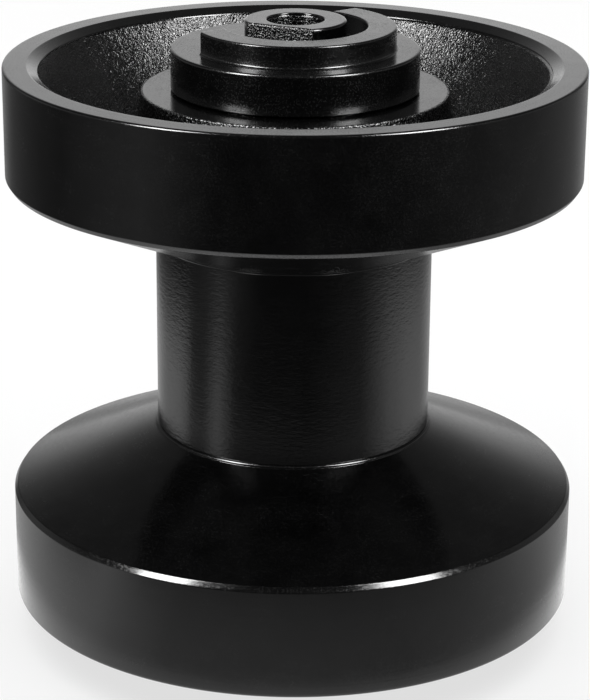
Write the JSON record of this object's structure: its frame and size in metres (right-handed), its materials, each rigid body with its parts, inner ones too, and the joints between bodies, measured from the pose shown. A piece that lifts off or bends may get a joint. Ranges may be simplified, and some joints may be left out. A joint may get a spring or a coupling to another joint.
{
  "type": "track roller",
  "caption": "Bottom track roller: dished wheels on a hub tube, turning on a fixed shaft between end collars with C-shaped lips, face-sealed and bolted through drilled shaft ends.",
  "frame": {"origin": "the roller's centre on its axis, midway between the two shaft end faces", "axes": "+Z along the shaft towards the end with the oil plug; +X and +Y across, with the C-shaped lips open towards -X +Y"},
  "size_m": [0.21, 0.21, 0.2318],
  "materials": {
    "black_paint_wheel": "semi-gloss black paint over turned rims and rough as-cast dishes",
    "black_paint_hub": "gloss black paint over a turned tube",
    "black_paint_fixed": "semi-gloss black paint over turned steel, rough on the shaft's flats",
    "bush_bronze": "bored and turned bearing bronze",
    "seal_iron": "lapped hard iron seal ring",
    "seal_rubber": "matt black nitrile rubber",
    "pin_steel": "bare ground steel"
  },
  "bodies": {
    "shaft_group": {"shaft": "black_paint_fixed", "collar_upper": "black_paint_fixed", "collar_lower": "black_paint_fixed", "collar_pin_upper": "pin_steel", "collar_pin_lower": "pin_steel", "collar_o_ring_upper": "seal_rubber", "collar_o_ring_lower": "seal_rubber", "oil_plug": "pin_steel", "fixed_seal_ring_upper": "seal_iron", "fixed_seal_ring_lower": "seal_iron", "fixed_seal_toric_upper": "seal_rubber", "fixed_seal_toric_lower": "seal_rubber"},
    "roller": {"wheel_upper": "black_paint_wheel", "wheel_lower": "black_paint_wheel", "hub_tube": "black_paint_hub", "bush_upper": "bush_bronze", "bush_lower": "bush_bronze", "thrust_washer_upper": "bush_bronze", "thrust_washer_lower": "bush_bronze", "rotating_seal_ring_upper": "seal_iron", "rotating_seal_ring_lower": "seal_iron", "rotating_seal_toric_upper": "seal_rubber", "rotating_seal_toric_lower": "seal_rubber"}
  },
  "joints": [
    {"name": "roller_spin", "type": "hinge", "parent": "shaft_group", "child": "roller", "pos_m": [0, 0, 0], "axis": [0, 0, 1], "continuous": true}
  ]
}
